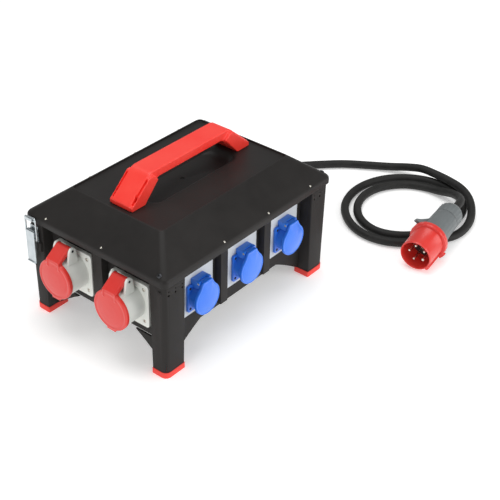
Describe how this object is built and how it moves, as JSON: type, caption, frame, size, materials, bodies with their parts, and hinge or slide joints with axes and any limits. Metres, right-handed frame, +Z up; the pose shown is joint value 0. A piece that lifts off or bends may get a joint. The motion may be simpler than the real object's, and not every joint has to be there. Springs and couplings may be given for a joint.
{
  "type": "portable power distribution box",
  "caption": "Black box on four legs with red feet and a sloped hood, a carrying handle, lidded blue and red sockets, toggle latches, and a rubber cable to an industrial plug.",
  "frame": {"origin": "on the floor under the middle of the box, measured with its industrial lids and latches and without the free cable and plug", "axes": "+Z up, -Y the front with the domestic sockets, -X the left side with the industrial sockets, +X the side the cable leaves from"},
  "size_m": [0.83, 0.4635, 0.2785],
  "materials": {
    "black_housing": "fine-textured black moulded plastic",
    "black_hood": "fine-textured black moulded plastic, lightly worn",
    "inner_black": "smooth dark plastic",
    "handle_red": "satin red moulded plastic",
    "foot_red": "satin red moulded plastic",
    "domestic_blue": "semi-gloss blue plastic",
    "industrial_red": "semi-gloss red plastic",
    "pale_plastic": "satin pale grey plastic",
    "socket_plate": "smooth light grey plate",
    "breaker_plastic": "satin off-white plastic",
    "toggle_blue": "glossy dark blue plastic",
    "zinc_steel": "zinc-plated steel",
    "brass": "plain brass",
    "cable_rubber": "matt black rubber sheath",
    "plug_grey": "satin dark grey plastic"
  },
  "bodies": {
    "base": {"base_shell": "black_housing", "foot_cap_front_left": "foot_red", "foot_cap_front_right": "foot_red", "foot_cap_rear_left": "foot_red", "foot_cap_rear_right": "foot_red", "floor_plate": "inner_black", "socket_plate_left": "socket_plate", "socket_plate_middle": "socket_plate", "socket_plate_right": "socket_plate", "domestic_socket_left": "domestic_blue", "domestic_socket_middle": "domestic_blue", "domestic_socket_right": "domestic_blue", "domestic_insert_left": "domestic_blue", "domestic_insert_middle": "domestic_blue", "domestic_insert_right": "domestic_blue", "industrial_socket_front": "pale_plastic", "industrial_socket_rear": "pale_plastic", "industrial_insert_front": "industrial_red", "industrial_insert_rear": "industrial_red", "latch_base_left": "zinc_steel", "latch_base_right": "zinc_steel", "din_rail": "zinc_steel", "residual_current_breaker": "breaker_plastic", "three_pole_breaker_1": "breaker_plastic", "three_pole_breaker_2": "breaker_plastic", "single_pole_breaker_1": "breaker_plastic", "single_pole_breaker_2": "breaker_plastic", "single_pole_breaker_3": "breaker_plastic", "terminal_block": "pale_plastic", "earth_bar": "brass", "deck_cover": "inner_black", "cable_gland": "black_housing", "hood_hinge_pin_left": "zinc_steel", "hood_hinge_pin_right": "zinc_steel", "cable": "cable_rubber", "plug_collar": "industrial_red", "plug_pin_carrier": "industrial_red", "plug_shell": "plug_grey", "plug_gland_nut": "plug_grey"},
    "hood_body": {"hood": "black_hood", "handle": "handle_red", "latch_catch_left": "zinc_steel", "latch_catch_right": "zinc_steel"},
    "domestic_lid_left_body": {"domestic_lid_left": "domestic_blue"},
    "domestic_lid_middle_body": {"domestic_lid_middle": "domestic_blue"},
    "domestic_lid_right_body": {"domestic_lid_right": "domestic_blue"},
    "industrial_lid_front_body": {"industrial_lid_front": "industrial_red"},
    "industrial_lid_rear_body": {"industrial_lid_rear": "industrial_red"},
    "latch_lever_left_body": {"latch_lever_left": "zinc_steel"},
    "latch_bail_left_body": {"latch_bail_left": "zinc_steel"},
    "latch_lever_right_body": {"latch_lever_right": "zinc_steel"},
    "latch_bail_right_body": {"latch_bail_right": "zinc_steel"},
    "residual_current_breaker_toggle_body": {"residual_current_breaker_toggle": "toggle_blue"},
    "three_pole_breaker_1_toggle_body": {"three_pole_breaker_1_toggle": "toggle_blue"},
    "three_pole_breaker_2_toggle_body": {"three_pole_breaker_2_toggle": "toggle_blue"},
    "single_pole_breaker_1_toggle_body": {"single_pole_breaker_1_toggle": "toggle_blue"},
    "single_pole_breaker_2_toggle_body": {"single_pole_breaker_2_toggle": "toggle_blue"},
    "single_pole_breaker_3_toggle_body": {"single_pole_breaker_3_toggle": "toggle_blue"},
    "test_button_body": {"test_button": "toggle_blue"}
  },
  "joints": [
    {"name": "hood_hinge", "type": "hinge", "parent": "base", "child": "hood_body", "pos_m": [0.00865, -0.1484, 0.1806], "axis": [1, 0, 0], "range_deg": [0, 75]},
    {"name": "domestic_lid_left_hinge", "type": "hinge", "parent": "base", "child": "domestic_lid_left_body", "pos_m": [-0.10135, -0.144, 0.139], "axis": [-1, 0, 0], "range_deg": [0, 95], "stiffness_Nm_per_rad": 0.02, "springref_deg": -45.84},
    {"name": "domestic_lid_middle_hinge", "type": "hinge", "parent": "base", "child": "domestic_lid_middle_body", "pos_m": [0.00865, -0.144, 0.139], "axis": [-1, 0, 0], "range_deg": [0, 95], "stiffness_Nm_per_rad": 0.02, "springref_deg": -45.84},
    {"name": "domestic_lid_right_hinge", "type": "hinge", "parent": "base", "child": "domestic_lid_right_body", "pos_m": [0.11865, -0.144, 0.139], "axis": [-1, 0, 0], "range_deg": [0, 95], "stiffness_Nm_per_rad": 0.02, "springref_deg": -45.84},
    {"name": "industrial_lid_front_hinge", "type": "hinge", "parent": "base", "child": "industrial_lid_front_body", "pos_m": [-0.20175, -0.062, 0.161], "axis": [0, 1, 0], "range_deg": [0, 95], "stiffness_Nm_per_rad": 0.06, "springref_deg": -45.84},
    {"name": "industrial_lid_rear_hinge", "type": "hinge", "parent": "base", "child": "industrial_lid_rear_body", "pos_m": [-0.20175, 0.062, 0.161], "axis": [0, 1, 0], "range_deg": [0, 95], "stiffness_Nm_per_rad": 0.06, "springref_deg": -45.84},
    {"name": "latch_lever_left_pivot", "type": "hinge", "parent": "base", "child": "latch_lever_left_body", "pos_m": [-0.20485, 0.135, 0.162], "axis": [0, 1, 0], "range_deg": [0, 98]},
    {"name": "latch_bail_left_pivot", "type": "hinge", "parent": "latch_lever_left_body", "child": "latch_bail_left_body", "pos_m": [-0.20535, 0.135, 0.1485], "axis": [0, 1, 0], "range_deg": [-72, 0]},
    {"name": "latch_lever_right_pivot", "type": "hinge", "parent": "base", "child": "latch_lever_right_body", "pos_m": [0.22215, 0.135, 0.162], "axis": [0, -1, 0], "range_deg": [0, 98]},
    {"name": "latch_bail_right_pivot", "type": "hinge", "parent": "latch_lever_right_body", "child": "latch_bail_right_body", "pos_m": [0.22265, 0.135, 0.1485], "axis": [0, -1, 0], "range_deg": [-72, 0]},
    {"name": "residual_current_breaker_toggle_pivot", "type": "hinge", "parent": "base", "child": "residual_current_breaker_toggle_body", "pos_m": [-0.05535, 0.04, 0.188], "axis": [1, 0, 0], "range_deg": [0, 76]},
    {"name": "three_pole_breaker_1_toggle_pivot", "type": "hinge", "parent": "base", "child": "three_pole_breaker_1_toggle_body", "pos_m": [0.00765, 0.04, 0.188], "axis": [1, 0, 0], "range_deg": [0, 76]},
    {"name": "three_pole_breaker_2_toggle_pivot", "type": "hinge", "parent": "base", "child": "three_pole_breaker_2_toggle_body", "pos_m": [0.06165, 0.04, 0.188], "axis": [1, 0, 0], "range_deg": [0, 76]},
    {"name": "single_pole_breaker_1_toggle_pivot", "type": "hinge", "parent": "base", "child": "single_pole_breaker_1_toggle_body", "pos_m": [0.09765, 0.04, 0.188], "axis": [1, 0, 0], "range_deg": [0, 76]},
    {"name": "single_pole_breaker_2_toggle_pivot", "type": "hinge", "parent": "base", "child": "single_pole_breaker_2_toggle_body", "pos_m": [0.11565, 0.04, 0.188], "axis": [1, 0, 0], "range_deg": [0, 76]},
    {"name": "single_pole_breaker_3_toggle_pivot", "type": "hinge", "parent": "base", "child": "single_pole_breaker_3_toggle_body", "pos_m": [0.13365, 0.04, 0.188], "axis": [1, 0, 0], "range_deg": [0, 76]},
    {"name": "test_button_slide", "type": "slide", "parent": "base", "child": "test_button_body", "axis": [0, 0, -1], "range_m": [0, 0.002], "stiffness_N_per_m": 300}
  ],
  "couplings": [
    {"joint": "latch_bail_left_pivot", "follows": "latch_lever_left_pivot", "ratio": -0.72},
    {"joint": "latch_bail_right_pivot", "follows": "latch_lever_right_pivot", "ratio": -0.72}
  ]
}
